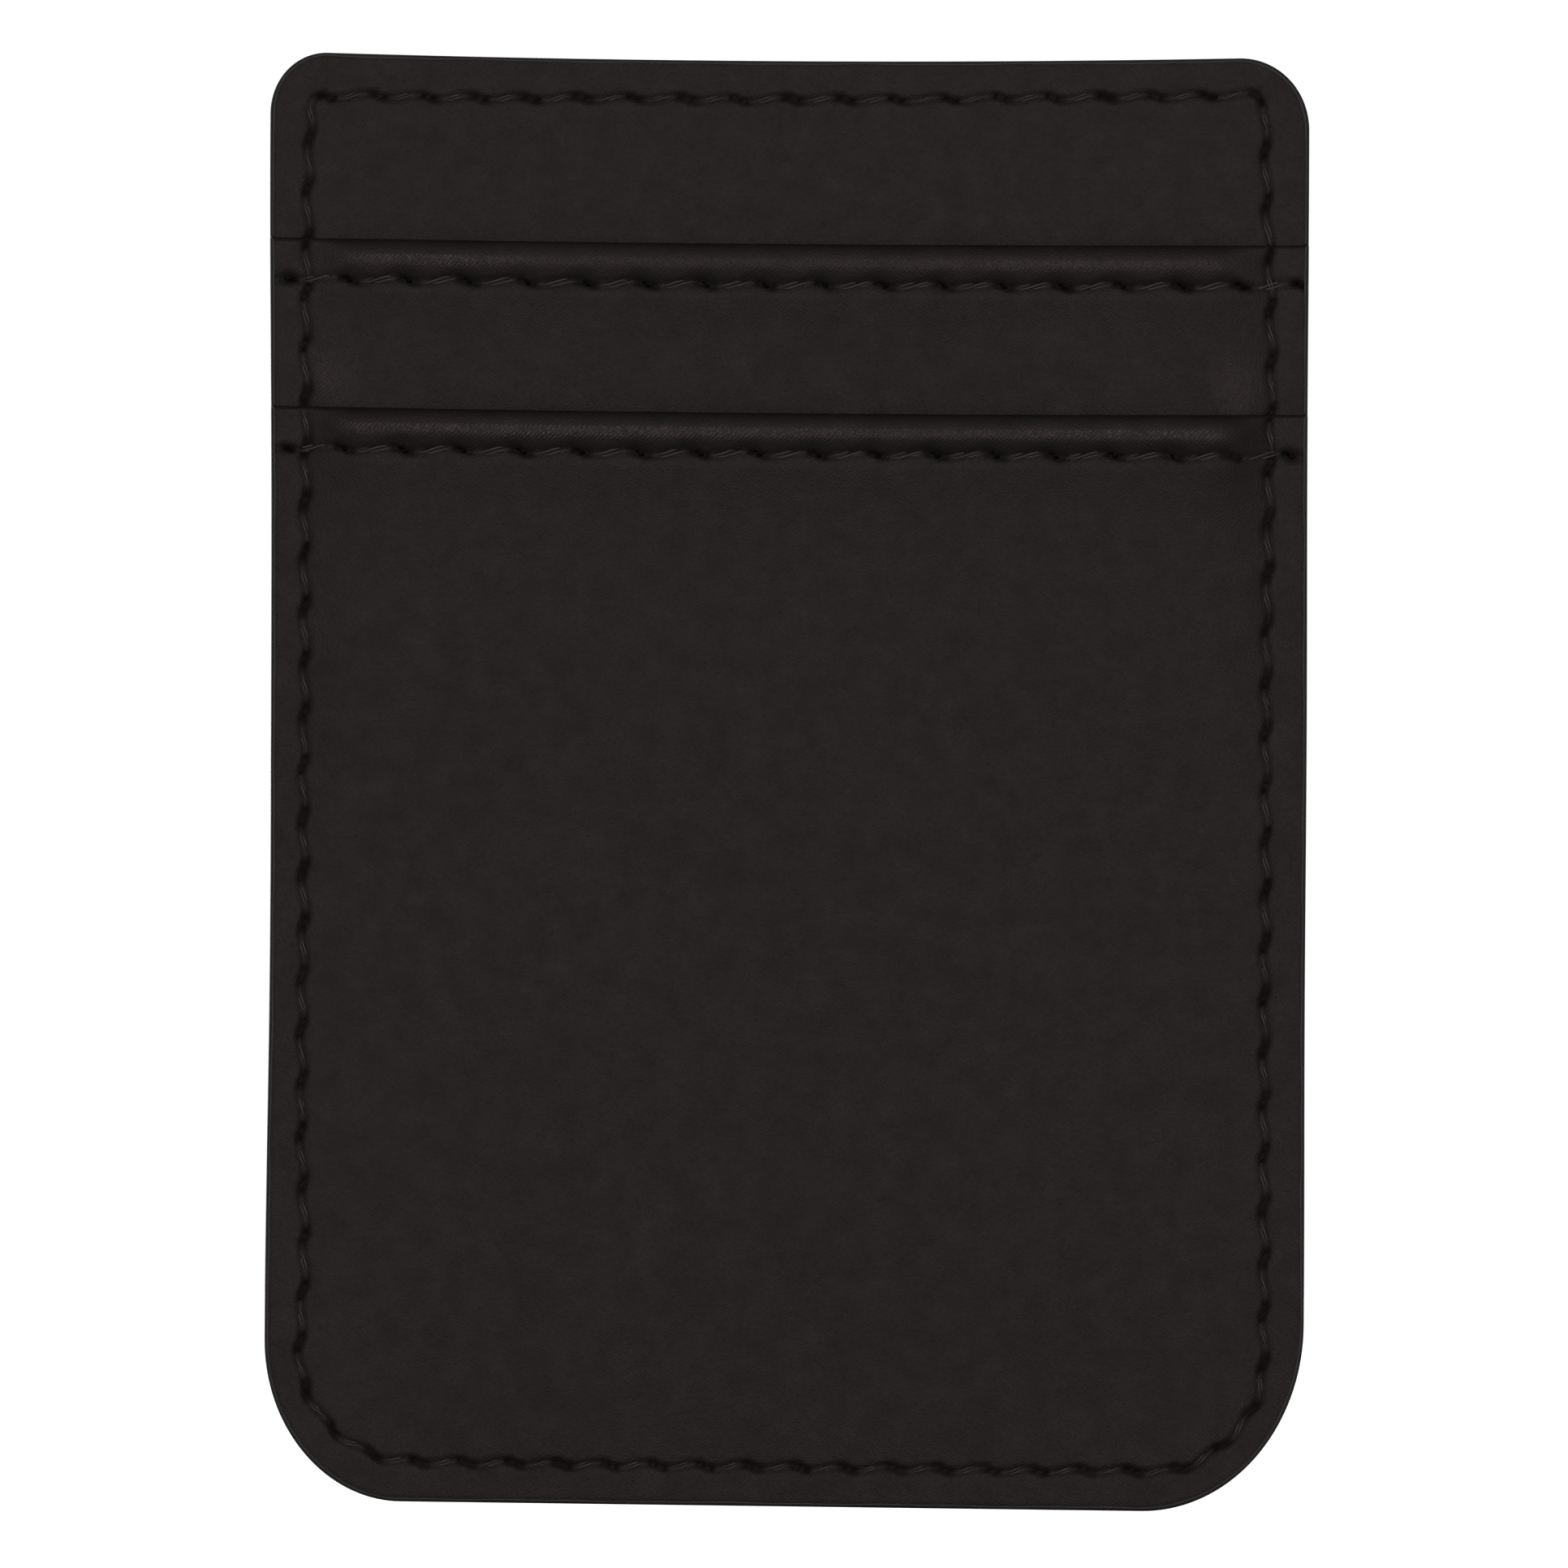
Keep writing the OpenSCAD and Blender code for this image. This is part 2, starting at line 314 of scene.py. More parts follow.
class HemSeam:
    """A hem's seam, which runs from edge to edge below a mouth."""

    dive = 3.2

    def __init__(self, mouth, reach_left, reach_right, burnt, seed):
        self.z = mouth - HEM_SEAM_DROP
        self.x0, self.x1 = OUT_X0 + reach_left, OUT_X1 - reach_right
        self.total = int(round((self.x1 - self.x0) / HEM_PITCH))
        self.pitch = (self.x1 - self.x0) / self.total
        self.uneven = stitch_errors(seed, self.total, False)
        self.burnt = [(self.x0 if side < 0 else self.x1, self.z) for side in burnt]

    def at(self, phase):
        x = self.x0 + phase * self.pitch
        return x, np.full_like(x, self.z), np.ones_like(x), np.zeros_like(x)

    def nearest(self, x, z):
        return self.z - z, np.clip((x - self.x0) / self.pitch, 0, self.total)


seam = PerimeterSeam()
rear_hem = HemSeam(REAR_MOUTH, 1.15, 0.5, burnt=[-1], seed=32)
front_hem = HemSeam(FRONT_MOUTH, 0.9, 1.05, burnt=[1], seed=33)

# A needle hole is a slit that leans across its seam: a stitch ends in its outer end and the next
# one starts from its inner end.
STITCH_LEAN, HOLE_SHIFT = 0.13, 0.05
HOLE_REACH, HOLE_WIDTH, HOLE_DEPTH = 0.52, 0.15, 0.21


def needle_holes(line, inside, phase):
    """About 1 all along each of a seam's needle holes, falling to 0 outside them."""
    hole = np.round(phase).astype(int)
    shift, wider, deeper = line.uneven[:, hole]
    along, inside = (phase - hole) * line.pitch, inside - HOLE_SHIFT * shift
    share = (along * HOLE_REACH + inside * STITCH_LEAN) / (HOLE_REACH ** 2 + STITCH_LEAN ** 2)
    share = np.clip(share, -1, 1)
    gap = np.hypot(along - share * HOLE_REACH, inside - share * STITCH_LEAN)
    return (1 + 0.15 * deeper) * np.exp(-(gap / (HOLE_WIDTH * (1 + 0.3 * wider))) ** 2)


def sway(line, phase):
    """How far inside its seam's line the thread runs: it crosses over between two holes."""
    shift = HOLE_SHIFT * np.interp(phase, np.arange(line.total + 1), line.uneven[0])
    return shift + STITCH_LEAN * np.cos(np.pi * smooth((np.mod(phase, 1.0) - 0.1) / 0.8))


def thread_bed(line, inside, phase):
    """How a tight thread presses a narrow bed into the leather, 1 deep."""
    return np.exp(-((inside - sway(line, phase)) / 0.24) ** 2)


# ---------------------------------------------------------------- the leather's surfaces

WEAR_DEPTH, WEAR_WIDTH = 0.14, 0.55
BED_DEPTH, HEM_BED_DEPTH = 0.17, 0.12


def worn(inset):
    """How far the cut edge is worn round, at a distance in from the outline."""
    return WEAR_DEPTH * np.clip(1 - inset / WEAR_WIDTH, 0, 1) ** 2


def bevel(x, z):
    """How far the cut edge's front is worn round at a point."""
    return worn(outline_gap(x, z))


def perimeter_marks(x, z):
    """How far the perimeter seam presses a sheet in, and how much of that is needle hole."""
    inside, phase = seam.nearest(x, z)
    pierced = needle_holes(seam, inside, phase)
    return BED_DEPTH * thread_bed(seam, inside, phase) + HOLE_DEPTH * pierced, pierced


def face_base(x, z):
    return FACE_TOP + 0.02 * waves(x, z, 10, 25) - bevel(x, z)


class Pocket:
    """A pocket's sheet. It bellies out a little from its seams, most of all at its mouth.

    slack is how far it bellies out low down and at its mouth, and fade how far down the mouth's share
    reaches. double is how far the turned-in leather lifts the front, which it stops doing over a height
    of step. roll is the height of the ridge between the mouth and the hem's seam, and gloss how polished
    the ridge is. shine lists where it is more polished, as x, width and how much more.
    """

    def __init__(self, mouth, back, hem, slack, fade, step, double, roll, seed, gloss, shine):
        self.mouth, self.back_level, self.hem, self.roll = mouth, back, hem, roll
        self.low_slack, self.mouth_slack = slack
        self.fade, self.step, self.double, self.seed = fade, step, double, seed
        self.gloss, self.shine = gloss, shine

    def opened(self, x, z):
        """0 where the sheet is sewn down at its border, 1 where it is free."""
        inside, _ = seam.nearest(x, z)
        return smooth((inside - 0.2) / 3.2)

    def fold_reach(self, x):
        """How far down the mouth's fold is round: little where the border is pressed flat."""
        return 0.3 + 0.7 * self.opened(x, np.full_like(x, self.mouth - 1))

    def belly(self, x, z):
        down = np.maximum(self.mouth - z, 0)
        inside, _ = seam.nearest(x, z)
        slack = self.low_slack + (self.mouth_slack - self.low_slack) * np.exp(-down / self.fade)
        side_width = 7.4 - 1.8 * np.tanh(x / 5)
        width = 3.0 + (side_width - 3.0) * np.exp(-(down / 9) ** 2)
        flat = 1 - np.clip((inside - 0.3) / width, 0, 1)
        return slack * (1 - flat ** 2)

    def base(self, x, z):
        """The front, without what the seams do to it."""
        down = self.mouth - z
        opened = self.opened(x, z)
        turned_in = smooth((HEM_TURN - 0.6 + self.step / 2 - down) / self.step)
        hem = (0.08 + self.double * opened) * turned_in
        roll = self.roll * opened * hill((down - 1.35) / np.where(down < 1.35, 1.2, 1.1))
        uneven = 0.035 * waves(x, z, self.seed, 20) * opened
        return self.back_level + SHEET + self.belly(x, z) + hem + roll + uneven - bevel(x, z)

    def marks(self, x, z):
        """How far the seams press the front in, and how much of that is needle hole."""
        pressed, pierced = perimeter_marks(x, z)
        below, phase = self.hem.nearest(x, z)
        opened = self.opened(x, z)
        at_hole = hill(((phase - np.round(phase)) * self.hem.pitch + 0.35) / 1.4)
        reach = np.where(below < 0, 0.45 + 0.8 * at_hole * opened, 0.9)
        groove = (0.03 + 0.07 * opened * (1 + 0.5 * at_hole)) * hill(below / reach)
        groove = groove + HEM_BED_DEPTH * thread_bed(self.hem, below, phase)
        sewn = (x > self.hem.x0 - 0.3) & (x < self.hem.x1 + 0.3)
        holes = needle_holes(self.hem, below, phase) * sewn
        for end in self.hem.burnt:
            holes = np.maximum(holes, 1.3 * spot(x, z, end, (0.42, 0.36)))
        return pressed + groove + HOLE_DEPTH * holes, np.maximum(pierced, holes)

    def polish(self, x, z):
        """How far the fold's leather is stretched smooth, most at a few places along the hem."""
        down = self.mouth - z
        along = self.gloss + sum(more * np.exp(-((x - at) / width) ** 2) for at, width, more in self.shine)
        return hill((down - 1.1) / 0.95) * smooth(self.opened(x, z) * 1.3 - 0.3) * along

    def front(self, x, z):
        return self.base(x, z) - self.marks(x, z)[0]

    def back(self, x, z):
        turned_in = smooth((HEM_TURN + 0.3 - (self.mouth - z)) / 0.6)
        return self.back_level + self.belly(x, z) - 0.35 * self.opened(x, z) * turned_in


class RearPocket(Pocket):
    """Both ends of the strip above the front pocket are tipped up where the border is sewn down."""

    def base(self, x, z):
        return super().base(x, z) + 0.2 * self.tips(x, z, 0.2)

    def polish(self, x, z):
        return super().polish(x, z) + 0.35 * self.tips(x, z, 1.7)

    def tips(self, x, z, up):
        ends = (SEAM_X0 + 1.5, SEAM_X1 - 1.8)
        return sum(spot(x, z, (end, FRONT_MOUTH + up), (1.4, 1.5)) for end in ends)


class FrontPocket(Pocket):
    """The hem's thick ends stand off the border, so the leather falls away below them."""

    def base(self, x, z):
        right = spot(x, z, (SEAM_X1 - 2.6, self.mouth - 2.2), (2.6, 3.2))
        left = spot(x, z, (SEAM_X0 + 2.4, self.mouth - 2.0), (2.4, 2.6))
        return super().base(x, z) + (0.5 * right + 0.25 * left) * self.opened(x, z)


rear_pocket = RearPocket(
    REAR_MOUTH, REAR_BACK, rear_hem, slack=(0.15, 0.7), fade=9, step=3.4, double=0.1, roll=0.2,
    seed=11, gloss=0.3, shine=[(-22, 4, 0.8), (18, 6, 0.3)])
front_pocket = FrontPocket(
    FRONT_MOUTH, FRONT_BACK, front_hem, slack=(0.06, 1.1), fade=10, step=4.4, double=0.06, roll=0.27,
    seed=12, gloss=0.6, shine=[(-15, 5, 1.2), (-4, 6, 0.6), (22, 6, 0.2)])


def top_base(x, z):
    """The depth of whatever leather is foremost at (x, z), without its seams."""
    d = np.where(z < REAR_MOUTH - 0.1, rear_pocket.base(x, z), face_base(x, z))
    return np.where(z < FRONT_MOUTH - 0.1, front_pocket.base(x, z), d)


def back_outer(x, z):
    """The back panel's outer face, which the bobbin thread presses in."""
    inside, phase = seam.nearest(x, z)
    pierced = needle_holes(seam, inside, phase)
    return BACK_D + bevel(x, z) + 0.1 * hill(inside / 0.55) + 0.25 * pierced


# ---------------------------------------------------------------- sheets

CUTS = 4
SIDE_STEP, FIELD_STEP, HEM_STEP, TOP_STEP, HIDDEN_STEP = 0.6, 0.8, 0.56, 0.2, 3.0
SIDE_BAND, SEAM_BAND, TOP_BAND, LOW_BAND = 4.8, 1.2, 0.5, 2.4  # how wide the closer spacings reach
FOLD_CREST = 0.68  # how far behind the front, as a share of the sheet, a fold is highest


def steps(stops):
    """Values running through stops of (value, spacing up to the next stop)."""
    values = []
    for (a, step), (b, _) in zip(stops, stops[1:]):
        count = max(1, int(round(abs(b - a) / step)))
        values += list(a + (b - a) * np.arange(count) / count)
    return np.array(values + [stops[-1][0]])


def columns():
    """Shares of the width, closer together by both side seams."""
    width = OUT_X1 - OUT_X0
    return steps([(0, SIDE_STEP), (SIDE_BAND, FIELD_STEP), (width - SIDE_BAND, SIDE_STEP),
                  (width, 1)]) / width


def low_rows():
    """Row heights up to the level where the bottom corners are steep."""
    turn = np.radians([0, 5, 10, 15, 20, 25, 30])
    return list(OUT_Z0 + PAINT / 2 + CORNERS[1, -1][1] * (1 - np.cos(turn)))


def panel_rows(low_step, *stops):
    """Row heights of a panel as high as the holder, spaced by low_step above the bottom corners."""
    low = low_rows()
    top = [(SEAM_Z1 - SEAM_BAND, SIDE_STEP), (OUT_Z1 - TOP_BAND, TOP_STEP), (OUT_Z1 - PAINT / 2, 1)]
    return np.concatenate([low[:-1], steps([(low[-1], low_step), *stops, *top])])


class Grid:
    """A grid in which the marked cells are cut finer, with no gaps where fine and coarse cells meet."""

    def __init__(self, us, vs, fine):
        nu, nv = len(us) - 1, len(vs) - 1
        fine = fine.copy()
        fine[[0, -1], :] = True
        fine[:, [0, -1]] = True
        used = np.zeros((nv * CUTS + 1, nu * CUTS + 1), bool)
        used[::CUTS, ::CUTS] = True
        for j, i in np.argwhere(fine):
            used[j * CUTS:(j + 1) * CUTS + 1, i * CUTS:(i + 1) * CUTS + 1] = True
        index = np.full(used.shape, -1)
        index[used] = np.arange(used.sum())
        rows, cols = np.nonzero(used)
        self.u = np.interp(cols / CUTS, np.arange(nu + 1), us)
        self.v = np.interp(rows / CUTS, np.arange(nv + 1), vs)
        self.faces = []
        for j in range(nv):
            for i in range(nu):
                a, b = j * CUTS, i * CUTS
                if fine[j, i]:
                    block = index[a:a + CUTS + 1, b:b + CUTS + 1]
                    quads = [block[:-1, :-1], block[:-1, 1:], block[1:, 1:], block[1:, :-1]]
                    self.faces += np.stack(quads, -1).reshape(-1, 4).tolist()
                else:
                    ring = np.concatenate([index[a, b:b + CUTS], index[a:a + CUTS, b + CUTS],
                                           index[a + CUTS, b + CUTS:b:-1], index[a + CUTS:a:-1, b]])
                    self.faces.append(ring[ring >= 0].tolist())
        self.ring = np.concatenate([index[0, :-1], index[:-1, -1], index[-1, :0:-1], index[:0:-1, 0]])
        self.on_top = self.v[self.ring] > vs[-1] - 1e-6


def sheet_points(grid, inset, fold=None):
    """Where a grid's points lie in the drawing. fold gives how far below the mouth the top row is."""
    z = grid.v
    x0, x1 = outline_x(z, -1, inset), outline_x(z, 1, inset)
    x = x0 + grid.u * (x1 - x0)
    if fold:
        mouth, reach = fold
        straight = HEM_STEP * 4
        deepest = mouth - z.max()
        down = mouth - z
        share = np.clip((straight - down) / (straight - deepest), 0, 1)
        z = z + share * (deepest - reach(x))
    return x, z


def make_sheet(name, rows, front, back, fine_front, fine_back=None, fold=None, attributes=None):
    """A closed sheet between two surfaces. A fold, if there is one, joins them over the top row."""
    us = columns()
    mid_u, mid_z = (us[:-1] + us[1:]) / 2, (rows[:-1] + rows[1:]) / 2
    inset = PAINT / 2
    cell_x = OUT_X0 + inset + mid_u[None, :] * (OUT_X1 - OUT_X0 - 2 * inset) + 0 * mid_z[:, None]
    cell_z = mid_z[:, None] + 0 * mid_u[None, :]
    nothing = np.zeros(cell_x.shape, bool)
    sides = []
    for fine in (fine_front, fine_back):
        grid = Grid(us, rows, fine(cell_x, cell_z) if fine else nothing)
        sides.append((grid, *sheet_points(grid, inset, fold)))
    (fg, fx, fz), (bg, bx, bz) = sides
    fd, bd = front(fx, fz), back(bx, bz)
    parts = [place(fx, fz, fd), place(bx, bz, bd)]
    faces = fg.faces + [[len(fx) + k for k in face[::-1]] for face in bg.faces]
    rings = [fg.ring, bg.ring + len(fx)]
    if fold:
        rx, rz, rf, rb = fx[fg.ring], fz[fg.ring], fd[fg.ring], bd[bg.ring]
        reach = np.where(fg.on_top, fold[1](rx), 0)
        front_part = FOLD_CREST * (rf - rb)
        base = len(fx) + len(bx)
        for turn in np.radians(np.arange(9, 180, 9)):
            half = front_part if turn < math.pi / 2 else rf - rb - front_part
            parts.append(place(rx, rz + reach * math.sin(turn), rf - front_part + half * math.cos(turn)))
            rings.insert(-1, base + np.arange(len(rx)))
            base += len(rx)
    for outer, inner in zip(rings, rings[1:]):
        nxt_outer, nxt_inner = np.roll(outer, -1), np.roll(inner, -1)
        faces += np.stack([outer, inner, nxt_inner, nxt_outer], -1).tolist()
    points = np.concatenate(parts)
    values = {}
    for key, function in (attributes or {}).items():
        values[key] = np.zeros(len(points))
        values[key][:len(fx)] = function(fx, fz)
    return make_mesh(name, points, faces, values)


def near_perimeter(x, z):
    inside, _ = seam.nearest(x, z)
    return inside < 1.5


def flat_at(depth):
    """A surface that lies flat at one depth."""
    return lambda x, z: np.full(x.shape, depth)


def make_face():
    rows = panel_rows(HIDDEN_STEP, (REAR_MOUTH - SEAM_BAND, FIELD_STEP))

    def front(x, z):
        return face_base(x, z) - perimeter_marks(x, z)[0]

    def fine(x, z):
        return near_perimeter(x, z) & (z > REAR_MOUTH - 1)

    return make_sheet("face_leather", rows, front, flat_at(FACE_BACK), fine,
                      attributes={"pierced": lambda x, z: perimeter_marks(x, z)[1]})


def make_pocket(name, pocket, shown_from):
    """A pocket's sheet, fine along its seams from the height shown_from up."""
    mouth = pocket.mouth
    low = low_rows()
    turned = np.arange(HEM_STEP * 2, HEM_TURN + 1.2, HEM_STEP)
    field = steps([(low[-1], SIDE_STEP), (SEAM_Z0 + LOW_BAND, FIELD_STEP), (mouth - turned[-1], 1)])
    rows = np.concatenate([low[:-1], field[:-1], mouth - turned[::-1]])

    def fine(x, z):
        by_hem = mouth - z < HEM_SEAM_DROP + SEAM_BAND
        return (near_perimeter(x, z) | by_hem) & (z > shown_from)

    return make_sheet(name, rows, pocket.front, pocket.back, fine, fold=(mouth, pocket.fold_reach),
                      attributes={"pierced": lambda x, z: pocket.marks(x, z)[1], "polish": pocket.polish})


def make_back():
    rows = panel_rows(SIDE_STEP, (SEAM_Z0 + LOW_BAND, FIELD_STEP))
    return make_sheet("back_leather_sheet", rows, flat_at(BACK_TOP), back_outer, None, near_perimeter)


def make_board():
    _, _, _, _, low, high = box_mm("stiffener_board")
    rows = panel_rows(HIDDEN_STEP)
    return make_sheet("board_sheet", rows, flat_at(high), flat_at(low), None)


# ---------------------------------------------------------------- the painted edge

def make_edge():
    """A skin of paint round the cut edge, lapped a little over the front and the back."""
    points, outward = outline_path(0.2)
    count = len(points)
    x, z = points.T
    nx, nz = outward.T
    inner_x, inner_z = x - 0.3 * nx, z - 0.3 * nz
    top = top_base(inner_x, inner_z) + bevel(inner_x, inner_z)
    lap = 0.24 + 0.02 * np.sin(np.arange(count) / 9.0) + 0.015 * np.sin(np.arange(count) / 3.7)
    layers = [BACK_TOP, FACE_BACK, FACE_TOP, REAR_BACK + SHEET, FRONT_BACK + SHEET]

    # The skin's section as insets and depths, from over the front, round the cut edge, to over the back.
    section = [(lap + 0.05, top - worn(lap + 0.05) - 0.03), (lap, top - worn(lap) + 0.008),
               (0.6 * lap, top - worn(0.6 * lap) + 0.012), (0.25 * lap, top - worn(0.1) - 0.05)]
    for share in np.linspace(0, 1, 22):
        d = top - 0.26 + share * (BACK_D + 0.14 - top + 0.26)
        groove = sum(0.022 * np.exp(-((d - level) / 0.05) ** 2) for level in layers)
        section.append((0.012 + groove + 0.05 * (2 * share - 1) ** 8, d))
    section += [(0.25 * lap, BACK_D + 0.07), (0.6 * lap, BACK_D + 0.03), (lap, BACK_D + worn(lap) - 0.01),
                (lap + 0.05, BACK_D + worn(lap) + 0.03)]
    rings = [place(x - inset * nx, z - inset * nz, d) for inset, d in section]
    size = len(rings)
    index = np.arange(size * count).reshape(size, count)
    below, beside = np.roll(index, -1, 0), np.roll(index, -1, 1)
    faces = np.stack([index, below, np.roll(below, -1, 1), beside], -1).reshape(-1, 4)
    return make_mesh("edge_coat", np.concatenate(rings), faces.tolist())


# ---------------------------------------------------------------- threads

PLIES, PLY_SIDES, PER_STITCH = 4, 8, 26
PLY_R, PLY_SPREAD, TWIST_LENGTH = 0.085, 0.16, 7.0


def tube_faces(base, count, sides, closed):
    """Faces of a tube of count rings, capped at both ends unless it is closed."""
    grid = base + np.arange(count * sides).reshape(count, sides)
    nxt = np.roll(grid, -1, 0)
    quads = np.stack([grid, nxt, np.roll(nxt, -1, 1), np.roll(grid, -1, 1)], -1)
    faces = (quads if closed else quads[:-1]).reshape(-1, 4).tolist()
    if not closed:
        faces += [grid[0].tolist(), grid[-1][::-1].tolist()]
    return faces


def thread_path(line, level, side, closed, sunk):
    """A thread's middle line: over the leather between holes, and down into each hole."""
    count = line.total * PER_STITCH
    phase = np.arange(count + (0 if closed else 1)) / PER_STITCH
    tau = np.mod(phase, 1.0)
    x, z, tx, tz = line.at(phase)
    nx, nz = tz, -tx
    lean = sway(line, phase)
    x, z = x + lean * nx, z + lean * nz
    top = level(x, z)
    kernel = np.hanning(PER_STITCH // 2 + 2)
    kernel /= kernel.sum()
    padded = np.pad(top, PER_STITCH, mode="wrap" if closed else "edge")
    eased = np.convolve(padded, kernel, "same")[PER_STITCH:-PER_STITCH]
    top = np.maximum(eased, top) if side > 0 else np.minimum(eased, top)
    to_hole = np.abs(2 * tau - 1)
    dive = 0.85 * to_hole ** line.dive
    return phase, x, z, top - side * (sunk + dive), nx, nz, to_hole


def make_thread(name, line, level, side, closed, sunk=0.2, width=1.0):
    """A thread along a seam, on its front (side 1) or back (side -1), with a melted lump on burnt ends.

    level is the surface that it lies on, sunk how deep its middle lies in that, and width its thickness
    as a share of the usual.
    """
    phase, x, z, d, nx, nz, to_hole = thread_path(line, level, side, closed, sunk)
    swell = 1 - 0.75 * to_hole ** 1.4
    count = len(x)
    twist = 2 * math.pi * phase * line.pitch / TWIST_LENGTH
    points, faces, along, around, buried = [], [], [], [], []
    for ply in range(PLIES):
        a = twist + ply * 2 * math.pi / PLIES
        out = PLY_SPREAD * swell * width
        cx, cz = x + out * np.cos(a) * nx, z + out * np.cos(a) * nz
        cd = d + side * 0.6 * out * np.sin(a)
        r = PLY_R * width * (0.6 + 0.4 * swell)
        ring = []
        for k in range(PLY_SIDES):
            b = side * 2 * math.pi * k / PLY_SIDES
            ring.append(place(cx + r * math.cos(b) * nx, cz + r * math.cos(b) * nz, cd + r * math.sin(b)))
        points.append(np.stack(ring, axis=1).reshape(-1, 3))
        along.append(np.repeat(phase * line.pitch, PLY_SIDES))
        around.append(np.tile(np.abs(np.arange(PLY_SIDES) / PLY_SIDES * 2 - 1), count) + ply)
        # buried grows as a ply runs down into its hole; the thread material paints shade by it.
        buried.append(np.repeat(smooth((to_hole - 0.4) / 0.45), PLY_SIDES))
        faces += tube_faces(ply * count * PLY_SIDES, count, PLY_SIDES, closed)
    for end in line.burnt if side > 0 else ():
        base = sum(len(p) for p in points)
        lump, lump_faces = melted_lump(end, level)
        points.append(lump)
        along.append(np.zeros(len(lump)))
        around.append(np.zeros(len(lump)))
        # A melted lump is wholly buried, so it is painted in shade all over.
        buried.append(np.ones(len(lump)))
        faces += [[base + k for k in face] for face in lump_faces]
    values = {"along": np.concatenate(along), "around": np.concatenate(around),
              "buried": np.concatenate(buried)}
    return make_mesh(name, np.concatenate(points), faces, values)


def melted_lump(end, level):
    """The bead that a thread's end melts into, low in its pit."""
    lift, turn = np.radians(np.arange(-75, 76, 15))[:, None], np.radians(np.arange(0, 360, 24))[None, :]
    uneven = 1 + 0.12 * np.sin(3 * turn + 1) * np.cos(lift) + 0.08 * np.sin(5 * turn + 4 * lift)
    x = end[0] + 0.3 * uneven * np.cos(lift) * np.cos(turn)
    z = end[1] + 0.26 * uneven * np.cos(lift) * np.sin(turn)
    top = level(np.array([end[0]]), np.array([end[1]]))[0]
    d = top - 0.42 + 0.2 * uneven * np.sin(lift)
    points = place(x, z, d)
    count, sides = x.shape
    return points, tube_faces(0, count, sides, False)


# ---------------------------------------------------------------- the release liner

def make_liner():
    """The release liner, with one corner just coming away."""
    radius, thickness, peeled = 4.0, -LINER_D, 1.1
    turn = 1 - np.cos(np.radians(np.arange(0, 90.1, 6)))
    xs = np.linspace(LINER_X0, LINER_X1, 54)
    rise = np.linspace(LINER_Z0 + radius, LINER_Z1 - radius, 68)[1:-1]
    zs = np.concatenate([LINER_Z0 + radius * turn, rise, LINER_Z1 - radius * turn[::-1]])
    x, z = np.meshgrid(xs, zs)
    past = np.clip((np.abs(z) - (LINER_Z1 - radius)) / radius, 0, 1)
    x = x * (LINER_X1 - radius * (1 - np.sqrt(1 - past ** 2))) / LINER_X1
    corner = np.clip(((x - LINER_X0) + (z - LINER_Z0) - 2) / 13, 0, 1)
    lift = peeled * (1 - corner) ** 2.4 + 0.03 * (1 + waves(x, z, 21, 30)) * 0.5 * corner
    near, far = lift, lift + thickness
    ny, nx = x.shape
    index = np.arange(nx * ny).reshape(ny, nx)
    quads = np.stack([index[:-1, :-1], index[:-1, 1:], index[1:, 1:], index[1:, :-1]], -1).reshape(-1, 4)
    faces = quads.tolist() + (quads[:, ::-1] + nx * ny).tolist()
    ring = np.concatenate([index[0, :-1], index[:-1, -1], index[-1, :0:-1], index[:0:-1, 0]])
    nxt = np.roll(ring, -1)
    faces += np.stack([ring, ring + nx * ny, nxt + nx * ny, nxt], -1).tolist()
    points = np.concatenate([np.stack([x, near, z], -1).reshape(-1, 3),
                             np.stack([x, far, z], -1).reshape(-1, 3)]) * MM
    return make_mesh("liner_paper", points, faces)


# ---------------------------------------------------------------- materials

def new_material(name):
    material = bpy.data.materials.new(name)
    material.use_nodes = True
    tree = material.node_tree
    return material, tree, tree.nodes["Principled BSDF"]


def add_node(tree, kind, links=(), **inputs):
    """A node with values on the named inputs and links of (output, input name or number)."""
    made = tree.nodes.new(kind)
    for key, value in inputs.items():
        made.inputs[key.replace("_", " ")].default_value = value
    for output, key in links:
        tree.links.new(output, made.inputs[key])
    return made


def add_math(tree, operation, *values):
    made = tree.nodes.new("ShaderNodeMath")
    made.operation = operation
    for i, value in enumerate(values):
        if isinstance(value, (int, float)):
            made.inputs[i].default_value = value
        else:
            tree.links.new(value, made.inputs[i])
    return made.outputs[0]


def add_ramp(tree, factor, dark, light, low=0.3, high=0.7):
    ramp = add_node(tree, "ShaderNodeValToRGB", [(factor, "Fac")])
    ends = ramp.color_ramp.elements
    ends[0].position, ends[0].color = low, (*dark, 1)
    ends[1].position, ends[1].color = high, (*light, 1)
    return ramp.outputs["Color"]


def add_attribute(tree, name):
    """The values that a mesh carries under a name."""
    made = tree.nodes.new("ShaderNodeAttribute")
    made.attribute_name = name
    return made.outputs["Fac"]


def add_darkening(tree, tone, dark, share):
    """The colour tone, mixed towards the colour dark by a share."""
    made = tree.nodes.new("ShaderNodeMix")
    made.data_type = "RGBA"
    tree.links.new(share, made.inputs[0])
    tree.links.new(tone, made.inputs[6])
    made.inputs[7].default_value = (*dark, 1)
    return made.outputs[2]


def add_bump(tree, shader, height, strength, depth):
    bump = add_node(tree, "ShaderNodeBump", [(height, "Height")], Strength=strength, Distance=depth)
    tree.links.new(bump.outputs["Normal"], shader.inputs["Normal"])


def scaled(color, factor):
    return tuple(c * factor for c in color)


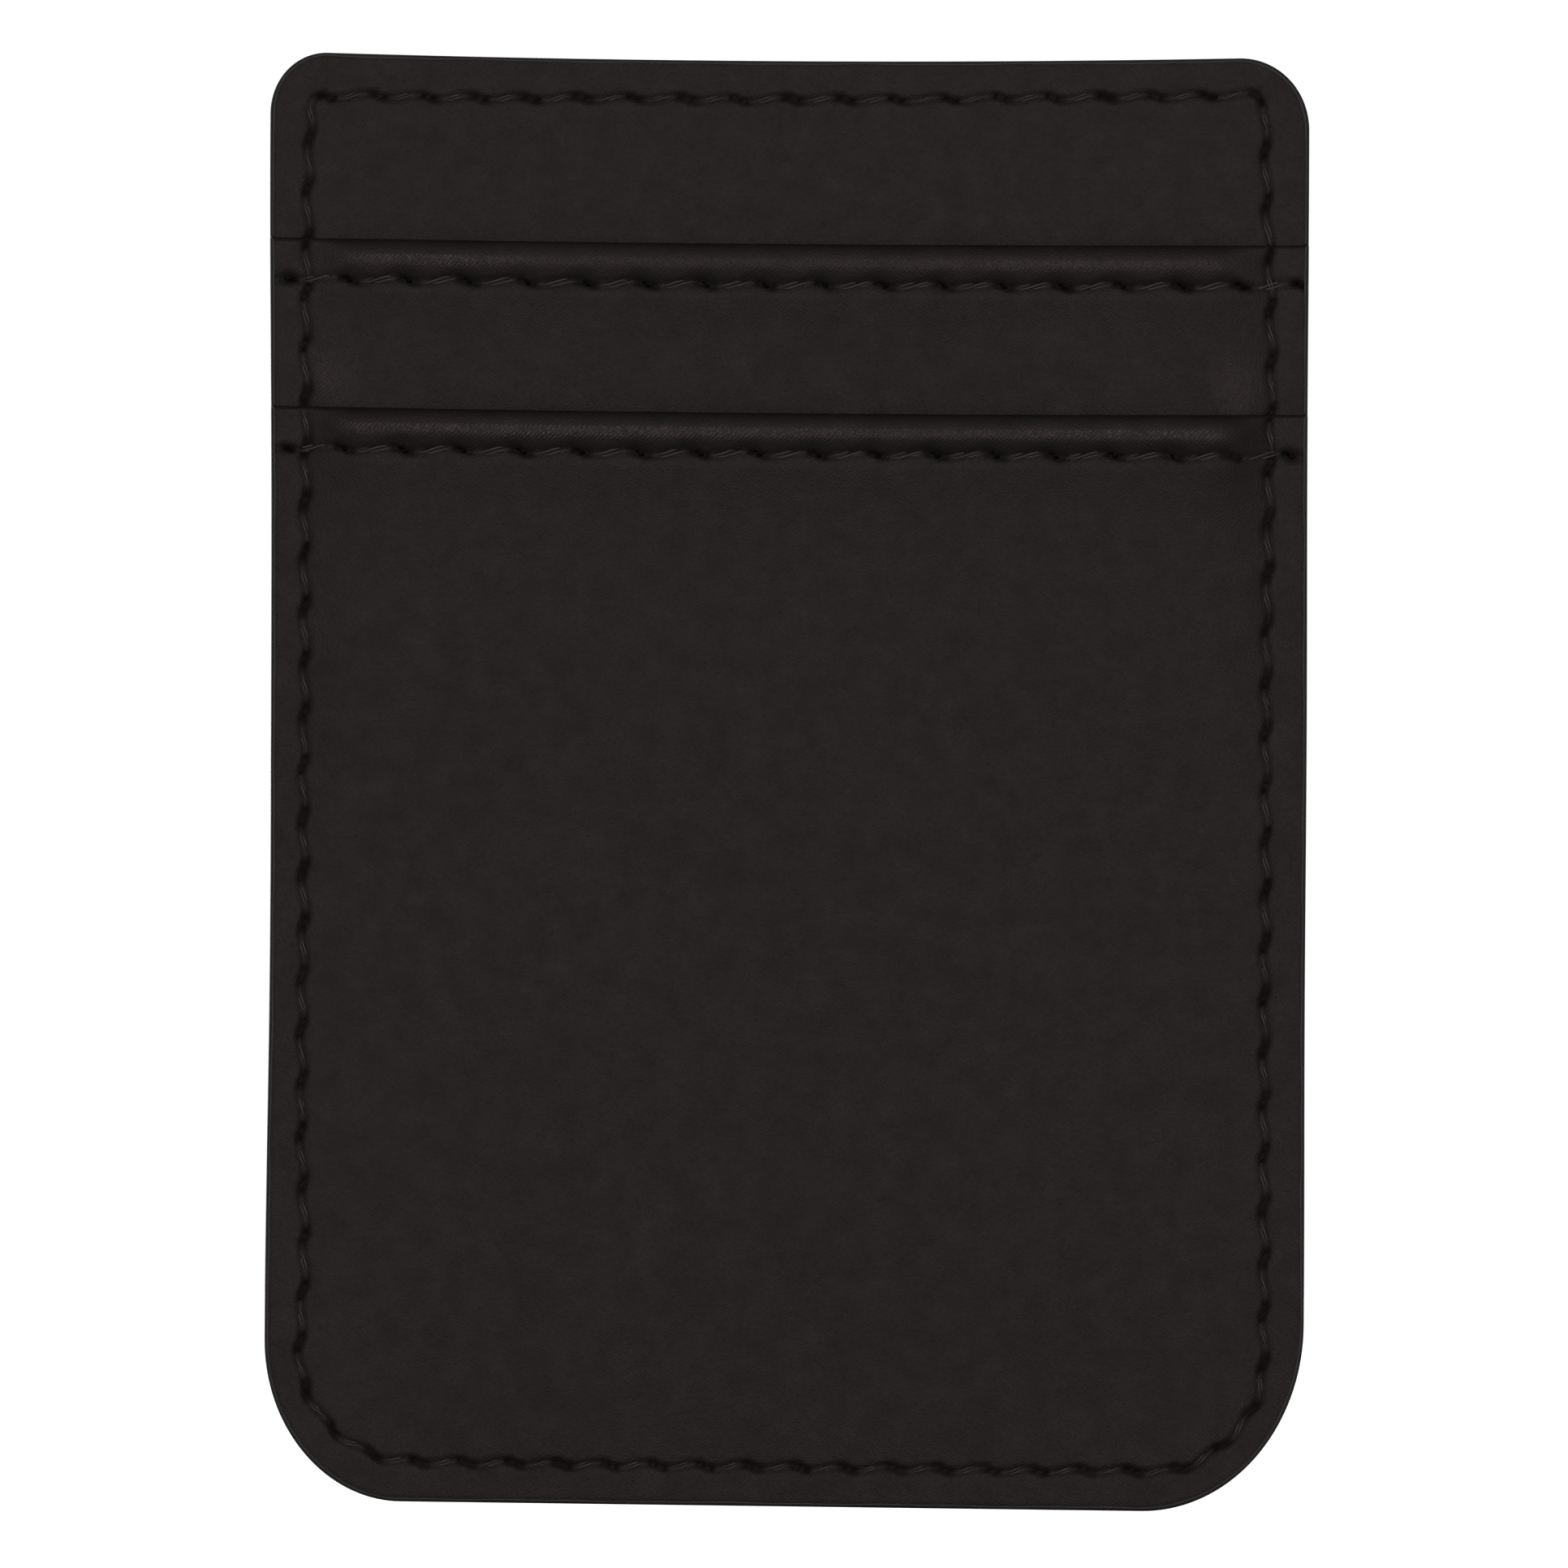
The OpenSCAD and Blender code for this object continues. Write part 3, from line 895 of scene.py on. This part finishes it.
def leather_relief(tree, coords, polish):
    """The height of the leather's fine grain, and of the hatch that shows where it is stretched."""
    cells = add_node(tree, "ShaderNodeTexVoronoi", [(coords, "Vector")], Scale=8500.0)
    cells.feature = "SMOOTH_F1"
    fine = add_node(tree, "ShaderNodeTexNoise", [(coords, "Vector")], Scale=11000.0, Detail=3.0)
    across = add_node(tree, "ShaderNodeMapping", [(coords, "Vector")])
    across.inputs["Rotation"].default_value = (0, math.radians(42), 0)
    hatch = add_node(tree, "ShaderNodeTexWave", [(across.outputs[0], "Vector")], Scale=1570.0,
                     Distortion=3.0, Detail=3.0, Detail_Scale=0.6)
    hatch.bands_direction = "Z"
    stretched = add_math(tree, "MULTIPLY_ADD", polish, 0.6, 0.12)
    grain = add_math(tree, "MULTIPLY_ADD", cells.outputs["Distance"], 0.6, fine.outputs["Fac"])
    return add_math(tree, "MULTIPLY_ADD", hatch.outputs["Fac"], stretched, grain)


def leather_material(name, color, roughness, specular):
    """Black coated leatherette: a fine grain and a faint mottle, shinier and hatched where stretched, with
    painted shade darkening its needle holes.
    """
    material, tree, shader = new_material(name)
    link = tree.links.new
    coords = tree.nodes.new("ShaderNodeTexCoord").outputs["Object"]
    pierced, polish = add_attribute(tree, "pierced"), add_attribute(tree, "polish")
    mottle = add_node(tree, "ShaderNodeTexNoise", [(coords, "Vector")], Scale=650.0, Detail=5.0,
                      Roughness=0.62).outputs["Fac"]
    tone = add_ramp(tree, mottle, scaled(color, 0.65), scaled(color, 1.35))
    # Painted shade: the base colour is darkened towards near-black in the needle holes and burnt pits,
    # where shadow falls.
    hole_shade = add_math(tree, "MULTIPLY", pierced, 0.45)
    link(add_darkening(tree, tone, scaled(color, 0.15), hole_shade), shader.inputs["Base Color"])
    rough = add_node(tree, "ShaderNodeMapRange", [(mottle, "Value")], To_Min=roughness + 0.07,
                     To_Max=roughness - 0.07).outputs["Result"]
    rough = add_math(tree, "MULTIPLY_ADD", polish, -0.2, rough)
    link(add_math(tree, "MULTIPLY_ADD", pierced, 0.3, rough), shader.inputs["Roughness"])
    link(add_math(tree, "MULTIPLY_ADD", polish, 0.15, specular), shader.inputs["Specular IOR Level"])
    shader.inputs["Specular Tint"].default_value = (1.0, 0.83, 0.79, 1)
    add_bump(tree, shader, leather_relief(tree, coords, polish), 1.0, 0.00004)
    return material


def thread_material():
    """Black bonded thread, with fine filaments that run along each ply, and painted shade where it dives
    into its holes.
    """
    material, tree, shader = new_material("thread")
    link = tree.links.new
    along, around = add_attribute(tree, "along"), add_attribute(tree, "around")
    buried = add_attribute(tree, "buried")
    unrolled = add_node(tree, "ShaderNodeCombineXYZ", [
        (add_math(tree, "MULTIPLY", along, 0.8), "X"), (add_math(tree, "MULTIPLY", around, 7.0), "Y")])
    filaments = add_node(tree, "ShaderNodeTexNoise", [(unrolled.outputs[0], "Vector")], Scale=1.0,
                         Detail=4.0).outputs["Fac"]
    color = (0.013, 0.0112, 0.0108)
    tone = add_ramp(tree, filaments, scaled(color, 0.25), scaled(color, 1.9))
    # Painted shade: the colour darkens and the sheen is turned down where a ply runs into its hole, and
    # over each melted lump.
    hole_shade = add_math(tree, "MULTIPLY", buried, 0.85)
    link(add_darkening(tree, tone, scaled(color, 0.1), hole_shade), shader.inputs["Base Color"])
    link(add_math(tree, "MULTIPLY_ADD", buried, -0.3, 0.35), shader.inputs["Specular IOR Level"])
    shader.inputs["Roughness"].default_value = 0.45
    shader.inputs["Specular Tint"].default_value = (1.0, 0.85, 0.81, 1)
    add_bump(tree, shader, filaments, 0.6, 0.00004)
    return material


def plain_material(name, color, roughness, scale, depth, contrast, specular=0.5):
    """A material whose colour and surface vary finely: for paint, paper, film and board."""
    material, tree, shader = new_material(name)
    coords = tree.nodes.new("ShaderNodeTexCoord").outputs["Object"]
    noise = add_node(tree, "ShaderNodeTexNoise", [(coords, "Vector")], Scale=scale,
                     Detail=5.0).outputs["Fac"]
    tone = add_ramp(tree, noise, scaled(color, 1 - contrast), scaled(color, 1 + contrast))
    tree.links.new(tone, shader.inputs["Base Color"])
    add_bump(tree, shader, noise, 0.4, depth)
    shader.inputs["Roughness"].default_value = roughness
    shader.inputs["Specular IOR Level"].default_value = specular
    return material


BLACK = (0.0045, 0.0038, 0.0036)
LEATHER = leather_material("leather", BLACK, 0.52, 0.2)
BACK_LEATHER = leather_material("back_leather", BLACK, 0.6, 0.2)
THREAD = thread_material()
# Edge paint is a real coat, but its tone is set lighter than the leather's to paint in the highlight along
# the rounded rim.
EDGE = plain_material("edge_paint", (0.007, 0.0062, 0.006), 0.48, 1500.0, 0.00003, 0.25, 0.25)
PAPER = plain_material("liner_paper", (0.78, 0.74, 0.64), 0.5, 900.0, 0.00002, 0.03)
FILM = plain_material("adhesive", (0.62, 0.62, 0.58), 0.3, 500.0, 0.00002, 0.05)
BOARD = plain_material("board", (0.32, 0.24, 0.15), 0.8, 2500.0, 0.00005, 0.25)


def finish_piece(obj, material, slot, body, *replaced):
    obj.data.materials.append(material)
    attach(obj, body)
    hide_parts(*replaced)


def dress_cad_node(name, material):
    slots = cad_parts[name].data.materials
    slots.clear()
    slots.append(material)


# ---------------------------------------------------------------- build

finish_piece(make_face(), LEATHER, "leather", "holder", "face_panel")
finish_piece(make_pocket("rear_pocket_leather", rear_pocket, FRONT_MOUTH - 1), LEATHER, "leather",
             "holder", "rear_pocket_panel")
finish_piece(make_pocket("front_pocket_leather", front_pocket, OUT_Z0), LEATHER, "leather",
             "holder", "front_pocket_panel")
finish_piece(make_back(), BACK_LEATHER, "back_leather", "holder", "back_panel")
finish_piece(make_board(), BOARD, "board", "holder", "stiffener_board")
finish_piece(make_edge(), EDGE, "edge_paint", "holder", "edge_paint")
finish_piece(make_liner(), PAPER, "liner_paper", "liner", "release_liner")

finish_piece(make_thread("perimeter_thread_front", seam, top_base, 1, True, width=0.9), THREAD, "thread",
             "holder", "perimeter_needle_thread")
finish_piece(make_thread("perimeter_thread_back", seam, flat_at(BACK_D), -1, True, sunk=0.06, width=0.8),
             THREAD, "thread", "holder", "perimeter_bobbin_thread")
for label, pocket in (("rear", rear_pocket), ("front", front_pocket)):
    finish_piece(make_thread(f"{label}_hem_thread_front", pocket.hem, pocket.base, 1, False, sunk=0.26,
                             width=1.1), THREAD, "thread", "holder", f"{label}_hem_needle_thread")
    finish_piece(make_thread(f"{label}_hem_thread_back", pocket.hem, pocket.back, -1, False, sunk=0.05,
                             width=0.8), THREAD, "thread", "holder", f"{label}_hem_bobbin_thread")

dress_cad_node("adhesive_sheet", FILM)


# ---------------------------------------------------------------- studio

FRAME_WIDTH = 0.09595  # what the camera takes in at the holder's front, in metres
FRONT_DEPTH = 0.0018
CAMERA_X, CAMERA_Z = -0.00022, -0.000225
CAMERA_DISTANCE = 1.4
CAMERA_ROLL = math.radians(-0.28)
SENSOR = 36.0
FLOOR_SIZE, FLOOR_GAP = 1.2, 0.0002
LIT, SEEN = 0.45, 1.3  # how bright the surroundings are for the holder, and for the camera


def make_camera():
    camera = bpy.data.cameras.new("camera")
    obj = bpy.data.objects.new("camera", camera)
    bpy.context.scene.collection.objects.link(obj)
    obj.location = (CAMERA_X, -CAMERA_DISTANCE, CAMERA_Z)
    obj.rotation_euler = (math.radians(90), CAMERA_ROLL, 0)
    camera.sensor_width = SENSOR
    camera.lens = SENSOR * (CAMERA_DISTANCE - FRONT_DEPTH) / FRAME_WIDTH
    bpy.context.scene.camera = obj


def area_light(name, position, size, power):
    """A soft rectangular light that faces the holder."""
    light = bpy.data.lights.new(name, "AREA")
    light.shape = "RECTANGLE"
    light.size, light.size_y = size
    light.energy = power
    obj = bpy.data.objects.new(name, light)
    bpy.context.scene.collection.objects.link(obj)
    obj.location = position
    obj.rotation_euler = (-Vector(position)).to_track_quat("-Z", "Y").to_euler()


def mix_for_camera(tree, lit, seen, output):
    """Shows the shader seen to the camera, while the shader lit is what lights the holder."""
    path = tree.nodes.new("ShaderNodeLightPath")
    mix = tree.nodes.new("ShaderNodeMixShader")
    tree.links.new(path.outputs["Is Camera Ray"], mix.inputs["Fac"])
    tree.links.new(lit, mix.inputs[1])
    tree.links.new(seen, mix.inputs[2])
    tree.links.new(mix.outputs[0], output)


def make_floor():
    bpy.ops.mesh.primitive_plane_add(size=FLOOR_SIZE, location=(0, 0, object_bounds()[0].z - FLOOR_GAP))
    floor = bpy.context.object
    floor.name = "floor"
    material, tree, shader = new_material("floor")
    shader.inputs["Base Color"].default_value = (0.8, 0.8, 0.8, 1)
    shader.inputs["Roughness"].default_value = 0.9
    glow = add_node(tree, "ShaderNodeEmission", Strength=SEEN)
    surface = tree.nodes["Material Output"].inputs["Surface"]
    mix_for_camera(tree, shader.outputs[0], glow.outputs[0], surface)
    floor.data.materials.append(material)


def make_world():
    world = bpy.data.worlds.new("studio")
    bpy.context.scene.world = world
    world.use_nodes = True
    tree = world.node_tree
    background = tree.nodes["Background"]
    background.inputs["Color"].default_value = (1, 1, 1, 1)
    background.inputs["Strength"].default_value = LIT
    white = add_node(tree, "ShaderNodeBackground", Strength=SEEN)
    surface = tree.nodes["World Output"].inputs["Surface"]
    mix_for_camera(tree, background.outputs[0], white.outputs[0], surface)


make_camera()
make_floor()
make_world()
area_light("key", (0.1, -3.0, 0.3), (1.8, 0.62), 40.0)
area_light("back", (-0.3, 0.8, 0.25), (0.8, 0.6), 3.0)
bpy.context.scene.view_settings.view_transform = "Standard"
